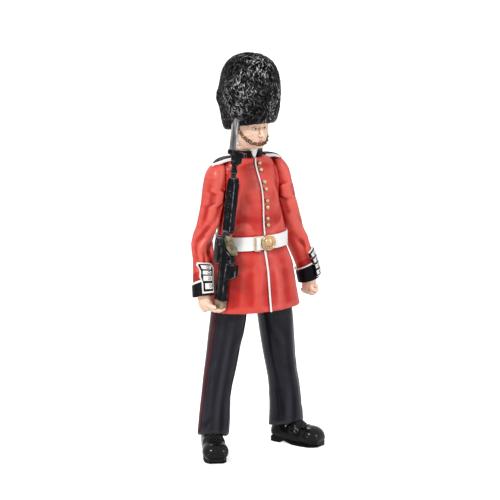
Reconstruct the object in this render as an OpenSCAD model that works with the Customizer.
// Toy foot guard: a rigid plastic figure of a soldier at attention with a rifle at the shoulder.
// The figure faces -Y, its left side is +X, and its soles stand on z = 0.

/* [Body heights] */
// From the ground up to the hem of the tunic's skirt
skirt_z = 41.5; // [38:0.5:46]
// Height of the skirt, from its hem to the belt
skirt_h = 18; // [15:0.5:22]
// Height of the tunic above the belt, up to the foot of the collar
chest_h = 21.5; // [19:0.5:25]
// Height of the collar
collar_h = 2.3; // [1.6:0.1:3]
// Height of the face that shows below the cap
face_h = 8; // [7:0.1:9]
// Height of the fur cap above its front edge
cap_h = 19.2; // [16:0.2:24]

/* [Tunic] */
// Half width of the waist
waist_a = 10.4; // [9.6:0.1:10.8]
// Half depth of the waist
waist_b = 6.9; // [6:0.1:8]
// Half distance between the seams where the sleeves join the chest
chest_a = 8.3; // [7.8:0.1:8.8]
// Half depth of the chest
chest_b = 7.2; // [6.4:0.1:7.8]
// Half width of the hem
hem_a = 14.1; // [13.9:0.1:15]
// Half depth of the hem
hem_b = 9.3; // [8.6:0.1:11]
// How far the shoulders are set back from the belly
lean = 3.4; // [2:0.2:4]
// Wall of the skirt
skirt_t = 1.1; // [0.8:0.1:1.4]
// Half width of the neck hole and of the collar's inside
neck_r = 3.7; // [3.2:0.1:4]

/* [Belt and trims] */
// Height of the belt
belt_h = 4; // [3:0.1:5]
// Thickness of the belt
belt_t = 0.5; // [0.3:0.05:0.8]
// Width of the white piping
piping_w = 0.6; // [0.5:0.05:1.1]
// How far piping stands proud
piping_t = 0.3; // [0.2:0.05:0.5]
// Radius of a tunic button
button_r = 0.75; // [0.5:0.05:0.95]
// Width of the buckle plate
buckle_w = 4.2; // [3.6:0.1:5.4]
// Width of the keeper beside the buckle
keeper_w = 1.6; // [1:0.1:2]
// Width of a shoulder strap
strap_w = 3.6; // [3:0.1:4.4]
// Thickness of a shoulder strap
strap_t = 0.35; // [0.3:0.05:0.7]

/* [Arms] */
// Half width of the sleeve at the upper arm
arm_a = 3.1; // [2.6:0.1:3.4]
// Half depth of the sleeve at the upper arm
arm_b = 3.7; // [3:0.1:4.2]
// Height of a cuff
cuff_h = 4.9; // [4:0.1:6]
// Thickness of a cuff over the sleeve
cuff_t = 0.45; // [0.3:0.05:0.7]
// Height of the flap on a cuff
flap_h = 8.6; // [7:0.1:10]
// Width of the flap on a cuff
flap_w = 4.4; // [3.6:0.1:5]
// Width of a closed hand across its four fingers
fist_w = 5.2; // [4.6:0.1:6]

/* [Legs and boots] */
// Half distance between the legs' centres below the skirt
leg_x = 7.8; // [7.4:0.1:8]
// Half distance between the ankles' centres
ankle_x = 12.4; // [11.6:0.1:13.4]
// Half width of a trouser leg below the skirt
thigh_a = 4.9; // [4.5:0.1:5]
// Half width of a trouser leg at its hem
hem_leg_a = 4.1; // [3.6:0.1:4.4]
// Height of the trouser hem over the ankle
hem_leg_z = 7; // [6.4:0.1:7.6]
// Turn of a foot outwards
foot_turn = 25; // [15:1:28]
// Length of a boot
boot_l = 17; // [16:0.2:18.4]
// Width of a boot at the ball of the foot
boot_w = 7; // [6.4:0.1:7.6]
// Thickness of a sole
sole_t = 0.7; // [0.5:0.05:1]
// Height of a heel below the boot
heel_t = 1.5; // [1.2:0.05:2]

/* [Head and cap] */
// Half width of the head
head_a = 4.5; // [4:0.1:5]
// Half depth of the head
head_b = 5.4; // [5:0.1:6]
// Half width of the fur cap at its widest
cap_a = 8.3; // [7.6:0.1:9.4]
// Half depth of the fur cap at its widest
cap_b = 9; // [8:0.1:10]
// How far the cap reaches down behind the head below its front edge
cap_drop = 4.8; // [3.5:0.1:6]
// Number of links in the chin chain
chain_links = 15; // [9:1:21]

/* [Rifle] */
// Length of the rifle from the butt plate to the muzzle
rifle_l = 45; // [43:0.5:46]
// Length of the bayonet's blade
blade_l = 8.8; // [7:0.2:11]
// Width of the butt
butt_w = 2.8; // [2.5:0.1:3.2]
// Thickness of the receiver and butt
rifle_t = 1.9; // [1.7:0.1:2.2]
// Radius of the barrel
barrel_r = 0.75; // [0.5:0.05:0.95]
// Lean of the rifle, its muzzle inwards
rifle_lean = 4.8; // [4:0.2:5.2]
// Tilt of the rifle, its muzzle forwards
rifle_tilt = 3.4; // [2.4:0.2:4]

/* [Pegs and fits] */
// Radius of the neck plug and the crown plug
plug_r = 2; // [1.6:0.1:2.4]
// Radius of the pegs at the shoulders, hips and waist
peg_r = 1.6; // [1.2:0.1:2]
// Radius of the pegs at the wrists and ankles
small_peg_r = 1; // [0.8:0.05:1.2]
// Length of a peg in its socket
peg_l = 3; // [2.4:0.1:3.4]
// Clearance round a peg in its socket
peg_gap = 0.1; // [0.05:0.05:0.2]
// Clearance under a raised trim
trim_gap = 0.05; // [0.03:0.01:0.1]

/* [Hidden] */

// Heights that follow from the driving ones
belt_z = skirt_z + skirt_h;
chest_z = belt_z + belt_h;
seam_z = belt_z + belt_h / 2;
neck_z = chest_z + chest_h;
chin_z = neck_z + 1.3 * collar_h;
rim_z = chin_z + face_h;
cap_top_z = rim_z + cap_h;
seat_z = skirt_z + skirt_h / 6;
// How far a cut runs past the face it opens, and how far off a surface its direction is read
overrun = 0.5;
probe = 0.1 * waist_a;

// Centres of the body's levels, from the belly in front to the shoulders set back
hem_y = -0.55 * lean;
belt_y = -0.24 * lean;
shoulder_y = 0.5 * lean;
head_y = -0.15 * lean;

// Point on a rounded oval of half sizes a and b at angle t; squareness 2 is an ellipse
function oval(a, b, t, squareness) =
    let (c = cos(t), s = sin(t), p = 2 / squareness)
    [a * sign(c) * pow(abs(c), p), b * sign(s) * pow(abs(s), p)];

// Rows of a loft are [z, a, b, centre x, centre y, squareness, turn, rise to the front, rise to the left]
function row(z, a, b, x = 0, y = 0, squareness = 2.2, turn = 0, fore = 0, side = 0) =
    [z, a, b, x, y, squareness, turn, fore, side];

// Smooth curve through the rows, with steps points for each span
function spline(p0, p1, p2, p3, k) =
    (2 * p1 + (p2 - p0) * k + (2 * p0 - 5 * p1 + 4 * p2 - p3) * k * k
        + (3 * p1 - p0 - 3 * p2 + p3) * k * k * k) / 2;
function smooth(rows, steps) =
    let (n = len(rows))
    [for (i = [0 : n - 2], j = [0 : steps - 1])
        spline(rows[max(i - 1, 0)], rows[i], rows[i + 1], rows[min(i + 2, n - 1)], j / steps),
        rows[n - 1]];

// The row at height z, between the two rows nearest to it
function level(rows, z) =
    [for (c = [0 : len(rows[0]) - 1]) lookup(z, [for (r = rows) [r[0], r[c]]])];

// Point of a row at angle t, lifted off the surface
function row_point(r, t, lift = 0) =
    let (p = oval(r[1] + lift, r[2] + lift, t, r[5]))
    [r[3] + p[0] * cos(r[6]) - p[1] * sin(r[6]),
     r[4] + p[0] * sin(r[6]) + p[1] * cos(r[6]),
     r[0] - p[1] * r[7] + p[0] * r[8]];
function skin(rows, z, t, lift = 0) = row_point(level(rows, z), t, lift);
function ring(r, sides, lift = 0) = [for (i = [0 : sides - 1]) row_point(r, 360 * i / sides, lift)];

// Solid through a list of rings that all have as many points, flat at both ends
module loft(rings) {
    n = len(rings[0]);
    m = len(rings);
    points = [for (r = rings) each r];
    sides = [for (j = [0 : m - 2], i = [0 : n - 1])
        let (a = j * n + i, b = j * n + (i + 1) % n, c = b + n, d = a + n)
        each [[a, c, b], [a, d, c]]];
    foot = [for (i = [0 : n - 1]) i];
    top = [for (i = [n - 1 : -1 : 0]) (m - 1) * n + i];
    polyhedron(points, concat([foot], sides, [top]), convexity = 6);
}

// Solid through rings that close on themselves, such as a belt
module hoop(rings) {
    n = len(rings[0]);
    m = len(rings);
    points = [for (r = rings) each r];
    sides = [for (j = [0 : m - 1], i = [0 : n - 1])
        let (a = j * n + i, b = j * n + (i + 1) % n)
        let (c = ((j + 1) % m) * n + (i + 1) % n, d = ((j + 1) % m) * n + i)
        each [[a, c, b], [a, d, c]]];
    polyhedron(points, sides, convexity = 6);
}

// Band round a skin between two heights, from low to high above it
module band(rows, z0, z1, low, high, sides = 32) {
    hoop([for (i = [0 : sides - 1])
        let (t = 360 * i / sides)
        [skin(rows, z0, t, high), skin(rows, z0, t, low), skin(rows, z1, t, low), skin(rows, z1, t, high)]]);
}

function unit(v) = v / norm(v);

// Strip of the given width along a path, with the outward direction at each point
module strip(path, outs, width, low, high) {
    n = len(path);
    loft([for (i = [0 : n - 1])
        let (along = unit(path[min(i + 1, n - 1)] - path[max(i - 1, 0)]))
        let (side = unit(cross(outs[i], along)) * width / 2)
        let (out = unit(cross(along, side)))
        [path[i] - side + out * low, path[i] + side + out * low,
         path[i] + side + out * high, path[i] - side + out * high]]);
}

// Outward direction of a skin at a point, seen in plan
function out_at(rows, z, t) = unit(skin(rows, z, t, probe) - skin(rows, z, t, 0));

// Upper tunic: waist, chest and sloping shoulders
body_rows = smooth([
    row(seam_z, waist_a, waist_b, 0, belt_y),
    row(chest_z, waist_a, waist_b, 0, belt_y),
    row(chest_z + 0.2 * chest_h, 0.93 * waist_a, 0.98 * chest_b, 0, 0),
    row(chest_z + 0.4 * chest_h, chest_a + 0.2 * (waist_a - chest_a), chest_b, 0, 0.06 * lean),
    row(chest_z + 0.6 * chest_h, chest_a, 0.96 * chest_b, 0, 0.2 * lean),
    row(chest_z + 0.76 * chest_h, chest_a, 0.82 * chest_b, 0, 0.4 * lean),
    row(chest_z + 0.88 * chest_h, chest_a, 0.66 * chest_b, 0, shoulder_y),
    row(chest_z + 0.95 * chest_h, 0.86 * chest_a, 0.61 * chest_b, 0, shoulder_y),
    row(neck_z, 1.3 * neck_r, 1.2 * neck_r, 0, shoulder_y)], 2);

// Skirt below the belt
skirt_rows = smooth([
    row(skirt_z, hem_a, hem_b, 0, hem_y),
    row(skirt_z + 0.3 * skirt_h, 0.94 * hem_a, 0.93 * hem_b, 0, 0.9 * hem_y),
    row(skirt_z + 0.7 * skirt_h, 0.5 * (hem_a + waist_a), 0.5 * (hem_b + waist_b), 0, 0.7 * hem_y),
    row(belt_z, waist_a, waist_b, 0, belt_y),
    row(seam_z, waist_a, waist_b, 0, belt_y)], 2);
function skirt_inside(rows) = [for (r = rows) [for (c = [0 : len(r) - 1]) c == 1 || c == 2 ? r[c] - skirt_t : r[c]]];

// Rows of the whole waist, for the belt
waist_rows = [level(skirt_rows, belt_z), level(body_rows, chest_z)];

// Places on the arms, given for the left; the right forearm comes forward to the rifle
shoulder_z = chest_z + 0.93 * chest_h;
elbow_z = chest_z - 0.1 * chest_h;
cuff_z = skirt_z + 0.31 * skirt_h;
shoulder_x = chest_a + 0.84 * arm_a;
elbow_x = 1.45 * waist_a;
wrist_x_left = 1.95 * waist_a;
// The right hand closes towards the leg, so its wrist hangs clear of the skirt and of the leg
hand_reach = 0.84 * fist_w;
wrist_x_right = max(1.64 * waist_a, leg_x + thigh_a + hand_reach);
wrist_y_left = 0.2 * lean;
wrist_y_right = -0.74 * lean;

// A sleeve's rows from the cuff up to the shoulder, flat against the tunic above the armpit
// The forearm slants, so its rings are tipped to stay square to it
function sleeve_rows(wrist_x, wrist_y) =
    let (fore = (shoulder_y - wrist_y) / (elbow_z - cuff_z), side = (wrist_x - elbow_x) / (elbow_z - cuff_z))
    smooth([
    row(cuff_z, 0.84 * arm_a, 0.72 * arm_b, wrist_x, wrist_y, 2, 0, fore, side),
    row(cuff_z + 0.9 * cuff_h, 0.82 * arm_a, 0.7 * arm_b,
        wrist_x + 0.19 * (elbow_x - wrist_x), wrist_y + 0.3 * (shoulder_y - wrist_y), 2, 0, fore, side),
    row(elbow_z - 0.2 * chest_h, 0.88 * arm_a, 0.78 * arm_b,
        elbow_x + 0.35 * (wrist_x - elbow_x), shoulder_y + 0.4 * (wrist_y - shoulder_y), 2, 0, fore / 2, side / 2),
    row(elbow_z, 0.92 * arm_a, 0.86 * arm_b, elbow_x, shoulder_y, 2),
    row(elbow_z + 0.22 * chest_h, 0.94 * arm_a, 0.92 * arm_b,
        shoulder_x + 0.54 * (elbow_x - shoulder_x), shoulder_y, 2),
    row(elbow_z + 0.5 * chest_h, arm_a, arm_b, shoulder_x + 0.16 * (elbow_x - shoulder_x), shoulder_y, 2),
    row(elbow_z + 0.72 * chest_h, arm_a, arm_b, shoulder_x, shoulder_y, 2),
    row(shoulder_z - 0.15 * chest_h, 0.9 * arm_a, 0.9 * arm_b, shoulder_x - 0.12 * arm_a, shoulder_y, 2),
    row(shoulder_z - 0.06 * chest_h, 0.78 * arm_a, 0.72 * arm_b, shoulder_x - 0.36 * arm_a, shoulder_y, 2),
    row(shoulder_z, 0.6 * arm_a, 0.46 * arm_b, shoulder_x - 0.6 * arm_a, shoulder_y, 2)], 2);
rows_left = sleeve_rows(wrist_x_left, wrist_y_left);
rows_right = sleeve_rows(wrist_x_right, wrist_y_right);

// Trouser leg of the left side; the right one mirrors it
ankle_y = 0.18 * lean;
hem_rise_share = 0.19;
leg_rows = smooth([
    row(hem_leg_z, hem_leg_a, 1.2 * hem_leg_a, ankle_x, ankle_y, 2.2, foot_turn, hem_rise_share),
    row(0.4 * skirt_z, hem_leg_a, 1.08 * hem_leg_a, leg_x + 0.82 * (ankle_x - leg_x), 0, 2.2, 0.6 * foot_turn, 0.05),
    row(0.62 * skirt_z, 0.5 * (thigh_a + hem_leg_a), 1.1 * hem_leg_a,
        leg_x + 0.46 * (ankle_x - leg_x), 0.2 * belt_y, 2.2, 0.3 * foot_turn, 0),
    row(0.94 * skirt_z, thigh_a, 1.1 * thigh_a, leg_x, belt_y, 2.2, 0, 0),
    row(seat_z, 0.95 * thigh_a, 1.06 * thigh_a, 0.97 * leg_x, belt_y, 2.2, 0, 0)], 3);

// Head, from the foot of the neck to the crown inside the cap
head_rows = smooth([
    row(neck_z - 0.4 * collar_h, 0.86 * neck_r, 0.86 * neck_r, 0, shoulder_y, 2),
    row(chin_z - 0.1 * face_h, 0.84 * neck_r, 0.86 * neck_r, 0, shoulder_y - 0.1 * lean, 2),
    row(chin_z + 0.02 * face_h, 0.66 * head_a, 0.84 * head_b, 0, head_y, 2),
    row(chin_z + 0.25 * face_h, 0.84 * head_a, 0.95 * head_b, 0, head_y, 2.1),
    row(chin_z + 0.6 * face_h, 0.98 * head_a, head_b, 0, head_y, 2.2),
    row(rim_z, head_a, head_b, 0, head_y, 2.2),
    row(rim_z + 0.25 * cap_h, 0.9 * head_a, 0.92 * head_b, 0, head_y, 2.1),
    row(rim_z + 0.42 * cap_h, 0.5 * head_a, 0.54 * head_b, 0, head_y, 2)], 2);

// Fur cap, lower at the back than above the face
cap_rise = cap_drop / (2 * cap_b);
cap_rows = smooth([
    row(rim_z - 0.5 * cap_drop, 0.74 * cap_a, 0.8 * cap_b, 0, 0, 2.1, 0, cap_rise),
    row(rim_z - 0.3 * cap_drop, 0.86 * cap_a, 0.9 * cap_b, 0, 0, 2.1, 0, cap_rise),
    row(rim_z + 0.14 * cap_h, 0.97 * cap_a, 0.98 * cap_b, 0, 0, 2.1, 0, 0.6 * cap_rise),
    row(rim_z + 0.42 * cap_h, cap_a, cap_b, 0, 0, 2.1, 0, 0.2 * cap_rise),
    row(rim_z + 0.66 * cap_h, 0.94 * cap_a, 0.94 * cap_b, 0, 0, 2.1, 0, 0),
    row(rim_z + 0.85 * cap_h, 0.76 * cap_a, 0.76 * cap_b, 0, 0, 2, 0, 0),
    row(rim_z + 0.96 * cap_h, 0.44 * cap_a, 0.44 * cap_b, 0, 0, 2, 0, 0),
    row(cap_top_z, 0.1 * cap_a, 0.1 * cap_b, 0, 0, 2, 0, 0)], 2);

// The part's origin is below the middle of its reach, so the figure moves by half of each sum
reach_left = wrist_x_left + 0.84 * arm_a + 3 * cuff_t;
reach_right = ankle_x + 0.73 * boot_l * sin(foot_turn) + 0.35 * boot_w;
butt_place = [-wrist_x_right + 0.62 * fist_w, wrist_y_right - 0.7 * fist_w, cuff_z - 0.55 * fist_w];
reach_x = (reach_left - reach_right) / 2;
reach_front = rifle_l * sin(rifle_tilt) + 1.35 * butt_w;
reach_y = (cap_b + butt_place[1] - reach_front) / 2;
module stand() {
    translate([-reach_x, -reach_y, 0]) children();
}
module left_and_right(left) {
    if (left) {
        children();
    } else {
        mirror([1, 0, 0]) children();
    }
}

// Head and cap
module bearskin_cap() {
    stand() color([0.09, 0.08, 0.09]) difference() {
        loft([for (r = cap_rows) ring(r, 32)]);
        translate([0, head_y, rim_z - cap_drop]) cylinder(h = cap_drop + 0.5 * cap_h, r = head_b + peg_gap, $fn = 64);
    }
}
module head() {
    stand() color([0.92, 0.76, 0.64]) union() {
        loft([for (r = head_rows) ring(r, 28)]);
        translate([0, shoulder_y, neck_z - 0.4 * collar_h - peg_l]) cylinder(h = peg_l + overrun, r = plug_r, $fn = 48);
        nose();
    }
}
nose_z = chin_z + 0.52 * face_h;
nose_y = head_y - 0.97 * head_b;
module nose() {
    half = 0.14 * head_a;
    out = 0.16 * head_b;
    tall = 0.2 * face_h;
    polyhedron([[-half, nose_y + out, nose_z - tall / 2], [half, nose_y + out, nose_z - tall / 2],
        [half, nose_y - 0.7 * out, nose_z - tall / 2], [-half, nose_y - 0.7 * out, nose_z - tall / 2],
        [-half / 2, nose_y + out, nose_z + tall], [half / 2, nose_y + out, nose_z + tall],
        [half / 2, nose_y, nose_z + tall], [-half / 2, nose_y, nose_z + tall]],
        [[0, 1, 2, 3], [4, 7, 6, 5], [0, 4, 5, 1], [1, 5, 6, 2], [2, 6, 7, 3], [3, 7, 4, 0]]);
}

// Chain under the lower lip: it hangs from both sides of the cap, and each link is a swelling
chain_r = 0.09 * head_a;
// The chain's ends lie a little behind the sides of the face
chain_behind = 5;
function chain_point(k) =
    let (t = chain_behind - (180 + 2 * chain_behind) * (1 - k), drop = sin(180 * k))
    let (z = rim_z - 0.1 * face_h - 0.72 * face_h * pow(drop, 0.8))
    skin(head_rows, z, t, chain_r + trim_gap);
module chin_chain() {
    steps = chain_links * 4;
    path = [for (i = [0 : steps]) chain_point(i / steps)];
    stand() color([0.72, 0.55, 0.25]) loft([for (i = [0 : steps])
        let (along = unit(path[min(i + 1, steps)] - path[max(i - 1, 0)]))
        let (out = unit([path[i][0], path[i][1] - head_y, 0]), side = unit(cross(out, along)))
        let (up = cross(along, side), swell = 0.72 + 0.28 * abs(sin(180 * i / 4)))
        [for (j = [0 : 5]) path[i] + chain_r * swell * (1.5 * cos(60 * j) * side + sin(60 * j) * up)]]);
}

// Stand collar: a ring open in a V at the front, with its white edge
collar_t = 0.24 * neck_r;
collar_open = 14;
collar_dip = 0.2 * collar_h;
module collar_band(z0, z1, low, high, foot_dip) {
    steps = 24;
    loft([for (i = [0 : steps])
        let (t = -90 + collar_open + (360 - 2 * collar_open) * i / steps)
        let (out = [cos(t), sin(t), 0], flare = 1 + 0.04 * sin(t), fore = (1 - sin(t)) / 2)
        let (foot = z0 - foot_dip * fore, top = z1 - collar_dip * fore)
        [for (p = [[high, foot], [low, foot], [low, top], [high, top]])
            [0, shoulder_y, p[1]] + out * (neck_r + p[0]) * flare]]);
}
module collar() {
    stand() color([0.12, 0.11, 0.13])
        collar_band(neck_z + trim_gap, neck_z + collar_h, trim_gap, collar_t, 0);
}
module collar_piping() {
    stand() color([0.93, 0.92, 0.9])
        collar_band(neck_z + collar_h + trim_gap, neck_z + collar_h + piping_t, trim_gap, 0.8 * collar_t, collar_dip);
}

// Tunic
module shoulder_sockets(side_r) {
    for (side = [-1, 1]) {
        translate([side * (chest_a - peg_l - peg_gap), shoulder_y, elbow_z + 0.6 * chest_h])
            rotate([0, side * 90, 0]) cylinder(h = peg_l + overrun, r = side_r, $fn = 48);
    }
}
module tunic_body() {
    stand() color([0.78, 0.2, 0.17]) difference() {
        loft([for (r = body_rows) ring(r, 36)]);
        translate([0, shoulder_y, neck_z - 0.4 * collar_h - peg_l - peg_gap])
            cylinder(h = peg_l + peg_gap + overrun, r = plug_r + peg_gap, $fn = 48);
        translate([0, shoulder_y, neck_z - 0.4 * collar_h])
            cylinder(h = collar_h, r = neck_r, $fn = 64);
        translate([0, belt_y, seam_z - overrun]) cylinder(h = peg_l + overrun, r = peg_r + peg_gap, $fn = 48);
        shoulder_sockets(peg_r + peg_gap);
    }
}
module tunic_skirt() {
    inner = skirt_inside(skirt_rows);
    n = len(skirt_rows);
    stand() color([0.78, 0.2, 0.17]) hoop([for (i = [0 : 39])
        let (t = 360 * i / 40)
        concat([for (j = [0 : n - 1]) row_point(inner[n - 1 - j], t)], [for (j = [0 : n - 1]) row_point(skirt_rows[j], t)])]);
}
front_angle = -90;
body_piping_z = [for (i = [0 : 12]) chest_z + trim_gap + (chest_h - trim_gap) * i / 12];
skirt_piping_z = [for (i = [0 : 6]) skirt_z + (skirt_h - trim_gap) * i / 6];
module front_strip(rows, heights) {
    strip([for (z = heights) skin(rows, z, front_angle)], [for (z = heights) out_at(rows, z, front_angle)],
        piping_w, trim_gap, piping_t);
}
module front_piping() {
    stand() color([0.93, 0.92, 0.9]) front_strip(body_rows, body_piping_z);
}
module skirt_piping() {
    stand() color([0.93, 0.92, 0.9]) front_strip(skirt_rows, skirt_piping_z);
}

// Eight buttons in four pairs beside the piping
button_z = [for (pair = [0 : 3], k = [0, 1]) chest_z + chest_h * (0.13 + 0.235 * pair + 0.085 * k)];
button_side = piping_w / 2 + 1.2 * button_r;
module tunic_buttons() {
    stand() color([0.82, 0.64, 0.34]) for (z = button_z) {
        r = level(body_rows, z);
        t = front_angle + asin(button_side / r[1]) * 0.9;
        p = skin(body_rows, z, t);
        slope = atan2(skin(body_rows, z + button_r, t)[1] - skin(body_rows, z - button_r, t)[1], 2 * button_r);
        translate(p) rotate([90 - slope, 0, 0]) translate([0, 0, -0.3 * button_r])
            cylinder(h = 0.9 * button_r, r1 = button_r, r2 = 0.7 * button_r, $fn = 24);
    }
}

// Belt, with its buckle plate over the front and a keeper beside it
belt_low = belt_z + trim_gap;
belt_high = chest_z - trim_gap;
module belt() {
    stand() color([0.93, 0.92, 0.9]) band(waist_rows, belt_low, belt_high, trim_gap, belt_t, 40);
}
module belt_plate(x, w, h, low, high) {
    steps = 8;
    path = [for (i = [0 : steps]) skin(waist_rows, seam_z, front_angle + asin((x + w * (i / steps - 0.5)) / waist_a))];
    outs = [for (i = [0 : steps]) out_at(waist_rows, seam_z, front_angle + asin((x + w * (i / steps - 0.5)) / waist_a))];
    strip(path, outs, h, low, high);
}
buckle_x = 0.19 * buckle_w;
module belt_buckle() {
    stand() color([0.82, 0.64, 0.34]) belt_plate(buckle_x, buckle_w, 1.14 * belt_h, belt_t + trim_gap, 2.4 * belt_t);
}
module belt_keeper() {
    stand() color([0.9, 0.8, 0.6]) belt_plate(buckle_x - (buckle_w + keeper_w) / 2 - 2 * trim_gap, keeper_w,
        1.1 * belt_h, belt_t + trim_gap, 1.9 * belt_t);
}

// Shoulder straps, from beside the collar to the sleeve head, with a white edge below
strap_in = neck_r + collar_t + 0.2 * strap_w;
strap_out = shoulder_x + 0.1 * arm_a;
body_top = [for (i = [len(body_rows) - 1 : -1 : 0]) if (body_rows[i][0] > chest_z + 0.87 * chest_h)
    [body_rows[i][1], body_rows[i][0]]];
sleeve_top = [for (i = [len(rows_left) - 1 : -1 : len(rows_left) - 5]) [rows_left[i][3] + rows_left[i][1], rows_left[i][0]]];
function strap_z(x) = x < chest_a ? lookup(x, body_top) : lookup(x, sleeve_top);
strap_steps = 9;
strap_path = [for (i = [0 : strap_steps])
    let (x = strap_in + (strap_out - strap_in) * i / strap_steps) [x, shoulder_y, strap_z(x)]];
strap_outs = [for (p = strap_path) [0.2, 0, 1]];
module shoulder_strap(left) {
    stand() color([0.12, 0.11, 0.13]) left_and_right(left)
        strip(strap_path, strap_outs, strap_w - 2 * piping_w, piping_t + trim_gap, piping_t + strap_t);
}
module strap_piping(left) {
    stand() color([0.93, 0.92, 0.9]) left_and_right(left)
        strip(strap_path, strap_outs, strap_w, trim_gap, piping_t);
}

// Sleeves, held to the tunic by shoulder pegs and bored for the hands' wrist pegs
function flat_inside(p) = [max(p[0], chest_a + trim_gap), p[1], p[2]];
peg_z = elbow_z + 0.6 * chest_h;
module sleeve(rows, left) {
    n = len(rows);
    stand() color([0.78, 0.2, 0.17]) left_and_right(left) difference() {
        union() {
            loft([for (i = [0 : n - 1]) let (points = ring(rows[i], 24)) [for (p = points)
                rows[i][0] > elbow_z + 0.3 * chest_h ? flat_inside(p) : p]]);
            translate([chest_a - peg_l, shoulder_y, peg_z])
                rotate([0, 90, 0]) cylinder(h = peg_l + overrun, r = peg_r, $fn = 48);
        }
        translate([rows[0][3], rows[0][4], rows[0][0] - overrun])
            cylinder(h = peg_l + overrun, r = small_peg_r + peg_gap, $fn = 32);
    }
}

// Cuffs, their piping and the flaps with four white bars on their outer front
flap_angle_left = -52;
flap_angle_right = -78;
// A cuff's edges climb towards its flap
climb_share = 0.3;
function climb(z, t, flap_angle) = z + climb_share * (z - cuff_z) * (1 + cos(t - flap_angle)) / 2;
module cuff_band(rows, z0, z1, low, high, flap_angle) {
    sides = 28;
    hoop([for (i = [0 : sides - 1])
        let (t = 360 * i / sides, foot = climb(z0, t, flap_angle), top = climb(z1, t, flap_angle))
        [skin(rows, foot, t, high), skin(rows, foot, t, low), skin(rows, top, t, low), skin(rows, top, t, high)]]);
}
module cuff(rows, t, left) {
    stand() color([0.12, 0.11, 0.13]) left_and_right(left)
        cuff_band(rows, cuff_z, cuff_z + cuff_h, trim_gap, cuff_t, t);
}
module cuff_piping(rows, t, left) {
    stand() color([0.93, 0.92, 0.9]) left_and_right(left)
        cuff_band(rows, cuff_z + cuff_h + trim_gap, cuff_z + cuff_h + piping_w, trim_gap, cuff_t + piping_t / 2, t);
}
function flap_path(rows, t, z0, z1) = [for (i = [0 : 8]) skin(rows, z0 + (z1 - z0) * i / 8, t)];
function flap_outs(rows, t, z0, z1) = [for (i = [0 : 8]) out_at(rows, z0 + (z1 - z0) * i / 8, t)];
module on_sleeve(rows, t, z0, z1, w, low, high) {
    strip(flap_path(rows, t, z0, z1), flap_outs(rows, t, z0, z1), w, low, high);
}
bar_count = 4;
bar_step = flap_h / bar_count;
flap_low = cuff_t + 2 * trim_gap + piping_t / 2;
flap_high = flap_low + cuff_t;
module cuff_flap(rows, t, left) {
    stand() color([0.12, 0.11, 0.13]) left_and_right(left)
        on_sleeve(rows, t, cuff_z + 0.12 * cuff_h, cuff_z + 0.12 * cuff_h + flap_h, flap_w, flap_low, flap_high);
}
module cuff_bars(rows, t, left) {
    stand() color([0.93, 0.92, 0.9]) left_and_right(left) for (i = [0 : bar_count - 1]) {
        z = cuff_z + 0.12 * cuff_h + bar_step * (i + 0.18);
        on_sleeve(rows, t, z, z + 0.64 * bar_step, 0.7 * flap_w, flap_high + trim_gap, flap_high + trim_gap + piping_t);
    }
}

// Hands: a wrist with its peg in the sleeve, then four fingers side by side, curled in
module wrist(r, shift) {
    translate([r[3], r[4], r[0] - overrun]) cylinder(h = peg_l + overrun - peg_gap, r = small_peg_r, $fn = 32);
    loft([ring(row(r[0] - 0.5 * fist_w, 0.3 * fist_w, 0.34 * fist_w, r[3] + shift[0], r[4] + shift[1], 2.2), 16),
        ring([r[0] - trim_gap, 0.82 * r[1], 0.86 * r[2], r[3], r[4], r[5], r[6], r[7], r[8]], 16)]);
}
// Thumb along a path of three points, thick at its root and round at its tip
thumb_r = 0.17 * fist_w;
module thumb(root, bend, tip) {
    path = [root, (root + bend) / 2, bend, (bend + tip) / 2, tip, tip + 0.7 * thumb_r * unit(tip - bend)];
    girth_shares = [1, 1.05, 1, 0.95, 0.85, 0.4];
    loft([for (i = [0 : 5])
        let (along = unit(path[min(i + 1, 5)] - path[max(i - 1, 0)]))
        let (side = unit(cross(along, [0, 0, 1])), up = cross(along, side), r = thumb_r * girth_shares[i])
        [for (j = [0 : 9]) path[i] + r * (cos(36 * j) * side + sin(36 * j) * up)]]);
}
// The fist is drawn from back to front, each finger a swelling of the same outline; its top keeps below the sleeve
function fist_rings(r, turn, place, wide, tall) =
    let (steps = 16)
    [for (i = [0 : steps])
        let (k = i / steps, y = -fist_w * (k - 0.5) + place[1], swell = 0.86 + 0.14 * abs(sin(180 * 4 * k)))
        let (end = sqrt(max(1 - pow(abs(2 * k - 1), 6), 0.12)))
        [for (j = [0 : 15])
            let (p = oval(end * wide / 2, end * tall / 2, 22.5 * j, 2.6))
            let (x = place[0] + p[0] * (p[1] < 0 ? swell : 1), z = place[2] + p[1] * (p[1] < 0 ? swell : 1))
            let (across = x * cos(turn) - y * sin(turn), back = x * sin(turn) + y * cos(turn))
            [x, y, min(r[0] + z, r[0] - trim_gap - cuff_t / 2 + across * r[8] - back * r[7])]]];
fist_place = [0, 0, -0.46 * fist_w];
module fist(r, turn, place, wide, tall) {
    translate([r[3], r[4], 0]) rotate([0, 0, turn]) loft(fist_rings(r, turn, place, wide, tall));
}
left_turn = 10;
module hand_left() {
    r = rows_left[0];
    stand() color([0.92, 0.76, 0.64]) union() {
        wrist(r, [0, 0]);
        fist(r, left_turn, fist_place, 0.8 * fist_w, 0.92 * fist_w);
        translate([r[3], r[4], r[0]]) rotate([0, 0, left_turn]) thumb([-0.22 * fist_w, 0.05 * fist_w, -0.2 * fist_w],
            [-0.36 * fist_w, -0.36 * fist_w, -0.4 * fist_w], [-0.05 * fist_w, -0.52 * fist_w, -0.6 * fist_w]);
    }
}
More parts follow.
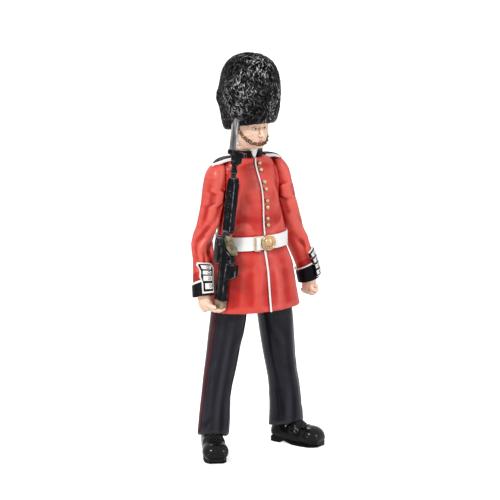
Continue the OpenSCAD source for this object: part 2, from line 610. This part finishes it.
// The right hand is closed round the butt from outside, with its fingers under the butt plate
right_turn = -20;
right_place = [-0.16 * fist_w, -0.36 * fist_w, -0.46 * fist_w];
finger_place = [-0.5 * fist_w, -0.46 * fist_w, -0.74 * fist_w];
module hand_right() {
    r = rows_right[0];
    color([0.92, 0.76, 0.64]) difference() {
        stand() left_and_right(false) union() {
            wrist(r, right_place / 2);
            fist(r, right_turn, right_place, 0.8 * fist_w, 0.92 * fist_w);
            fist(r, right_turn, finger_place, 0.9 * fist_w, 0.36 * fist_w);
        }
        rifle_frame() plate([for (p = butt_outline) [p[0] + sign(p[0]) * trim_gap, p[1] - trim_gap]],
            rifle_t + 2 * trim_gap);
    }
}

// Hip block inside the skirt, with a peg up into the tunic and a socket above each leg
seat_rows = smooth([
    row(seat_z + trim_gap, 0.97 * leg_x + 0.86 * thigh_a, 1.02 * thigh_a, 0, belt_y, 3),
    row(seat_z + 0.4 * skirt_h, waist_a - 1.4 * skirt_t, waist_b - 1.6 * skirt_t, 0, belt_y, 2.6),
    row(seam_z - trim_gap, waist_a - 1.6 * skirt_t, waist_b - 1.6 * skirt_t, 0, belt_y, 2.2)], 3);
module trouser_seat() {
    stand() color([0.16, 0.16, 0.19]) difference() {
        union() {
            loft([for (r = seat_rows) ring(r, 32)]);
            translate([0, belt_y, seam_z - overrun])
                cylinder(h = peg_l + overrun - peg_gap, r = peg_r, $fn = 48);
        }
        for (side = [-1, 1]) {
            translate([side * 0.97 * leg_x, belt_y, seat_z - overrun])
                cylinder(h = peg_l + overrun + peg_gap, r = peg_r + peg_gap, $fn = 48);
        }
    }
}
module trouser_leg(left) {
    stand() color([0.16, 0.16, 0.19]) left_and_right(left) difference() {
        union() {
            loft([for (r = leg_rows) ring(r, 24)]);
            translate([0.97 * leg_x, belt_y, seat_z - overrun]) cylinder(h = peg_l + overrun, r = peg_r, $fn = 48);
        }
        translate([ankle_x, ankle_y, hem_leg_z - hem_leg_a])
            cylinder(h = hem_leg_a + peg_l, r = small_peg_r + peg_gap, $fn = 32);
    }
}
// Stripe down the outer seam of a leg
stripe_z = [for (i = [0 : 12]) hem_leg_z + (skirt_z + 0.1 * skirt_h - hem_leg_z) * (i / 12)];
module trouser_stripe(left) {
    stand() color([0.55, 0.1, 0.1]) left_and_right(left)
        strip([for (z = stripe_z) skin(leg_rows, z, 0)], [for (z = stripe_z) out_at(leg_rows, z, 0)],
            piping_w, trim_gap, piping_t);
}

// Boots, drawn in the foot's own frame: heel towards +Y, toe towards -Y, ankle above the origin
heel_y = 0.27 * boot_l;
toe_y = heel_y - boot_l;
arch_y = heel_y - 0.3 * boot_l;
ball_y = heel_y - 0.5 * boot_l;
module foot(left) {
    stand() left_and_right(left) translate([ankle_x, ankle_y, 0]) rotate([0, 0, foot_turn]) children();
}
function sole_top(y) = lookup(y, [[ball_y, sole_t], [arch_y, heel_t]]);
// Half width of the foot at y: round at the heel and the toe, widest at the ball
function foot_half(y) =
    let (k = (heel_y - y) / boot_l)
    boot_w / 2 * lookup(k, [[0, 0.62], [0.12, 0.8], [0.3, 0.8], [0.45, 0.88], [0.66, 1], [0.85, 0.96], [1, 0.6]]);
// Sections of a boot as shares: [top line y, top line z, sole line y, sole line z, half width]
// The y shares are of the boot's length, the others of its width; the ankle ends under the trouser hem
boot_section_shares = [
    [-0.2, 1, 0.21, 0.8, 0.43], [-0.22, 0.96, 0.235, 0.62, 0.44], [-0.26, 0.9, 0.26, 0.36, 0.44],
    [-0.32, 0.83, 0.19, 0.12, 0.45], [-0.4, 0.78, -0.12, 0.06, 0.46], [-0.5, 0.76, -0.4, 0.04, 0.49],
    [-0.62, 0.7, -0.6, 0.04, 0.47], [-0.7, 0.5, -0.71, 0.1, 0.34]];
function below_hem(y) = hem_leg_z - y * hem_rise_share - 2 * trim_gap;
boot_rows = smooth([for (s = boot_section_shares)
    [boot_l * s[0], boot_w * s[1], boot_l * s[2], boot_w * s[3], boot_w * s[4]]], 2);
boot_sections = [for (s = boot_rows) [s[0], min(s[1], below_hem(s[0])), s[2], min(s[3], below_hem(s[2])), s[4]]];
function boot_point(s, t, lift = 0) =
    let (top = [0, s[0], s[1]], foot = [0, s[2], s[3]], reach = norm(top - foot) / 2)
    let (p = oval(s[4] + lift, reach + lift, t, 2.3))
    (top + foot) / 2 + [p[0], 0, 0] + (top - foot) * p[1] / (2 * reach);
function above_sole(p) = [p[0], p[1], max(p[2], sole_top(p[1]) + trim_gap)];
module boot(left) {
    color([0.08, 0.07, 0.08]) foot(left) union() {
        loft([for (s = boot_sections) [for (j = [0 : 19]) above_sole(boot_point(s, 18 * j))]]);
        translate([0, 0, 0.6 * boot_w]) cylinder(h = hem_leg_z + peg_l - 2 * peg_gap - 0.6 * boot_w,
            r = small_peg_r, $fn = 32);
    }
}
module sole(left) {
    outline = concat([for (i = [0 : 12]) let (y = heel_y - boot_l * i / 12) [foot_half(y), y]],
        [for (i = [12 : -1 : 0]) let (y = heel_y - boot_l * i / 12) [-foot_half(y), y]]);
    profile = [[heel_y, 0], [arch_y + 0.04 * boot_l, 0], [arch_y, heel_t - sole_t], [ball_y, 0],
        [toe_y + 0.12 * boot_l, 0], [toe_y, 0.4 * sole_t], [toe_y, sole_t], [ball_y, sole_t],
        [arch_y, heel_t], [heel_y, heel_t]];
    color([0.07, 0.06, 0.07]) foot(left) intersection() {
        translate([0, 0, -overrun]) linear_extrude(height = heel_t + 2 * overrun) polygon(outline);
        translate([-boot_w, 0, 0]) rotate([90, 0, 90]) linear_extrude(height = 2 * boot_w) polygon(profile);
    }
}
// Laces across the instep, each a short bar that follows the boot's top line
lace_count = 4;
lace_r = 0.035 * boot_w;
module laces(left) {
    color([0.1, 0.09, 0.1]) foot(left) for (i = [0 : lace_count - 1]) {
        s = boot_sections[3 + 2 * i];
        down = unit([0, s[2] - s[0], s[3] - s[1]]);
        fore = cross([1, 0, 0], down);
        loft([for (k = [-3 : 3])
            let (p = boot_point(s, 90 + 11 * k, lace_r + trim_gap))
            [for (j = [0 : 5]) p + lace_r * (cos(60 * j) * fore + sin(60 * j) * down)]]);
    }
}

// Rifle: drawn upright in its own frame, its underside towards -Y, then leaned to the shoulder
rifle_turn = 15;
module rifle_frame() {
    stand() translate(butt_place) rotate([rifle_tilt, rifle_lean, 0]) rotate([0, 0, rifle_turn]) children();
}
// Places along the rifle, as shares of its length
plate_h = 0.045 * rifle_l;
butt_top = 0.4 * rifle_l;
grip_at = 0.45 * rifle_l;
guard_low = 0.49 * rifle_l;
guard_high = 0.83 * rifle_l;
guard_h = guard_high - guard_low;
magazine_at = 0.19 * rifle_l;
magazine_h = 0.095 * rifle_l;
butt_outline = [[-0.56 * butt_w, 0], [0.5 * butt_w, 0], [0.46 * butt_w, 0.5 * butt_top], [-0.5 * butt_w, 0.5 * butt_top]];
module plate(outline, thick) {
    rotate([90, 0, 90]) translate([0, 0, -thick / 2]) linear_extrude(height = thick) polygon(outline);
}
// Butt, receiver and trigger housing, hollowed in front for the grip, with a round tube down the back
module rifle_body() {
    w = butt_w;
    color([0.1, 0.1, 0.11]) rifle_frame() difference() {
        union() {
            plate([[-0.56 * w, plate_h + trim_gap], [0.5 * w, plate_h + trim_gap], [0.46 * w, 0.5 * butt_top],
                [0.44 * w, butt_top], [0.34 * w, guard_low - trim_gap], [-0.5 * w, guard_low - trim_gap],
                [-0.52 * w, 1.06 * grip_at], [-0.05 * w, 1.05 * grip_at], [-0.05 * w, 0.92 * grip_at],
                [-0.25 * w, 0.83 * grip_at], [-1.1 * w, 0.76 * grip_at], [-1.12 * w, 0.66 * grip_at],
                [-0.6 * w, 0.63 * grip_at], [-0.5 * w, magazine_at - 0.3 * magazine_h]], rifle_t);
            translate([0, 0.2 * w, plate_h + trim_gap])
                cylinder(h = guard_low - plate_h - 2 * trim_gap, r = 0.56 * rifle_t, $fn = 32);
        }
        translate([0, -0.8 * w, 0.71 * grip_at]) rotate([0, 90, 0])
            cylinder(h = 2 * rifle_t, r = 0.16 * w, center = true, $fn = 24);
    }
}
// Handguard: flat sides, rounded edges, and five cooling holes down its outer side
vent_count = 5;
module rifle_handguard() {
    w = butt_w;
    color([0.11, 0.12, 0.12]) rifle_frame() difference() {
        intersection() {
            plate([[-0.58 * w, guard_low], [0.42 * w, guard_low], [0.44 * w, guard_low + 0.3 * guard_h],
                [0.42 * w, guard_high - 0.4 * w], [0.2 * w, guard_high], [-0.4 * w, guard_high],
                [-0.6 * w, guard_high - 0.5 * w]], 1.1 * rifle_t);
            translate([0, -0.08 * w, guard_low - overrun]) cylinder(h = guard_h + 2 * overrun, r = 0.62 * w, $fn = 48);
        }
        translate([0, 0, guard_high - peg_l]) cylinder(h = peg_l + overrun, r = barrel_r + peg_gap, $fn = 32);
        for (i = [0 : vent_count - 1]) {
            translate([-rifle_t, -0.08 * w, guard_low + guard_h * (0.3 + 0.12 * i)])
                rotate([0, 90, 0]) cylinder(h = 0.55 * rifle_t, r = 0.15 * w, $fn = 24);
        }
    }
}
// Barrel with the gas block round it and the foresight on its back
module rifle_barrel() {
    free = rifle_l - guard_high;
    color([0.1, 0.1, 0.11]) rifle_frame() union() {
        translate([0, 0, guard_high - peg_l + peg_gap]) cylinder(h = free + peg_l - peg_gap, r = barrel_r, $fn = 32);
        translate([0, 0, guard_high + 0.16 * free]) cylinder(h = 1.4 * barrel_r, r = 1.35 * barrel_r, $fn = 32);
        plate([[-1.6 * barrel_r, guard_high + 0.46 * free], [1.5 * barrel_r, guard_high + 0.46 * free],
            [1.5 * barrel_r, guard_high + 0.66 * free], [-1.6 * barrel_r, guard_high + 0.66 * free]], 1.2 * barrel_r);
    }
}
// Bayonet's hilt: a socket on the muzzle, a cross piece that reaches forward, and a lug down the front
hilt_h = 1.6 * barrel_r;
hilt_low = rifle_l - 1.2 * hilt_h;
hilt_high = rifle_l - 0.1 * hilt_h;
blade_y = 0.4 * butt_w;
module bayonet_hilt() {
    w = butt_w;
    color([0.1, 0.1, 0.11]) rifle_frame() difference() {
        union() {
            plate([[-1.35 * w, hilt_low + 0.3 * hilt_h], [-1.3 * w, hilt_low], [-0.8 * w, hilt_low - 0.2 * hilt_h],
                [-0.72 * w, rifle_l - 2.9 * hilt_h], [-0.1 * w, rifle_l - 3.1 * hilt_h], [0.3 * w, rifle_l - 2.4 * hilt_h],
                [0.5 * w, hilt_low], [0.95 * w, hilt_low], [0.95 * w, hilt_high], [-1.35 * w, hilt_high]], 1.5 * barrel_r);
            translate([0, 0, rifle_l - 2.4 * hilt_h]) cylinder(h = 2.5 * hilt_h, r = 1.55 * barrel_r, $fn = 32);
        }
        translate([0, 0, rifle_l - 4 * hilt_h]) cylinder(h = 4 * hilt_h + trim_gap, r = barrel_r + peg_gap, $fn = 32);
    }
}
// Blade with a hollow down each side and a clipped point, set behind the muzzle
module bayonet() {
    z0 = hilt_high + trim_gap;
    w = 3.3 * barrel_r;
    thick = 0.9 * barrel_r;
    color([0.45, 0.44, 0.46]) rifle_frame() translate([0, blade_y, 0]) difference() {
        plate([[-0.5 * w, z0], [0.5 * w, z0], [0.5 * w, z0 + 0.78 * blade_l], [0.14 * w, z0 + blade_l],
            [-0.16 * w, z0 + blade_l], [-0.42 * w, z0 + 0.86 * blade_l]], thick);
        for (side = [-1, 1]) {
            translate([side * (0.5 * thick + 0.12 * w), 0, z0 - overrun])
                cylinder(h = 0.7 * blade_l + overrun, r = 0.22 * w, $fn = 32);
        }
    }
}
module rifle_magazine() {
    w = butt_w;
    color([0.13, 0.15, 0.14]) rifle_frame() plate([[-0.5 * w - trim_gap, magazine_at],
        [-0.5 * w - trim_gap, magazine_at + magazine_h], [-1.75 * w, magazine_at + 1.12 * magazine_h],
        [-1.8 * w, magazine_at + 0.3 * magazine_h], [-1.2 * w, magazine_at + 0.05 * magazine_h]], 0.72 * rifle_t);
}
module rifle_grip() {
    w = butt_w;
    color([0.42, 0.39, 0.28]) rifle_frame() plate([[-0.05 * w - trim_gap, 1.03 * grip_at], [-0.3 * w, 1.03 * grip_at],
        [-0.62 * w, 0.96 * grip_at], [-1.28 * w, 0.87 * grip_at], [-1.42 * w, 0.8 * grip_at],
        [-1.34 * w, 0.78 * grip_at], [-1.1 * w, 0.78 * grip_at], [-0.27 * w, 0.86 * grip_at],
        [-0.05 * w - trim_gap, 0.93 * grip_at]], 0.9 * rifle_t);
}
// Sight: a tube behind the receiver on a short foot
sight_r = 0.42 * butt_w;
sight_y = 0.46 * butt_w + sight_r + 2 * trim_gap;
module rifle_sight() {
    color([0.1, 0.1, 0.11]) rifle_frame() union() {
        translate([0, sight_y, 0.68 * butt_top]) cylinder(h = 0.34 * butt_top, r = 0.85 * sight_r, $fn = 32);
        translate([0, sight_y, 0.98 * butt_top]) cylinder(h = 0.12 * butt_top, r = sight_r, $fn = 32);
        plate([[0.46 * butt_w + trim_gap, 0.74 * butt_top], [sight_y, 0.74 * butt_top],
            [sight_y, 0.94 * butt_top], [0.46 * butt_w + trim_gap, 0.94 * butt_top]], barrel_r);
    }
}
module butt_plate() {
    w = butt_w;
    color([0.42, 0.36, 0.28]) rifle_frame() plate([[-0.56 * w, 0], [0.42 * w, 0], [0.5 * w, plate_h], [-0.6 * w, plate_h]],
        rifle_t);
}

bearskin_cap();
head();
chin_chain();
collar();
collar_piping();
tunic_body();
tunic_skirt();
front_piping();
skirt_piping();
tunic_buttons();
belt();
belt_buckle();
belt_keeper();
shoulder_strap(false);  // shoulder_strap_right
shoulder_strap(true);  // shoulder_strap_left
strap_piping(false);  // strap_piping_right
strap_piping(true);  // strap_piping_left
sleeve(rows_right, false);  // sleeve_right
sleeve(rows_left, true);  // sleeve_left
cuff(rows_right, flap_angle_right, false);  // cuff_right
cuff(rows_left, flap_angle_left, true);  // cuff_left
cuff_piping(rows_right, flap_angle_right, false);  // cuff_piping_right
cuff_piping(rows_left, flap_angle_left, true);  // cuff_piping_left
cuff_flap(rows_right, flap_angle_right, false);  // cuff_flap_right
cuff_flap(rows_left, flap_angle_left, true);  // cuff_flap_left
cuff_bars(rows_right, flap_angle_right, false);  // cuff_bars_right
cuff_bars(rows_left, flap_angle_left, true);  // cuff_bars_left
hand_right();
hand_left();
trouser_seat();
trouser_leg(false);  // trouser_leg_right
trouser_leg(true);  // trouser_leg_left
trouser_stripe(false);  // trouser_stripe_right
trouser_stripe(true);  // trouser_stripe_left
boot(false);  // boot_right
boot(true);  // boot_left
sole(false);  // sole_right
sole(true);  // sole_left
laces(false);  // laces_right
laces(true);  // laces_left
rifle_body();
rifle_handguard();
rifle_barrel();
bayonet_hilt();
bayonet();
rifle_magazine();
rifle_grip();
rifle_sight();
butt_plate();
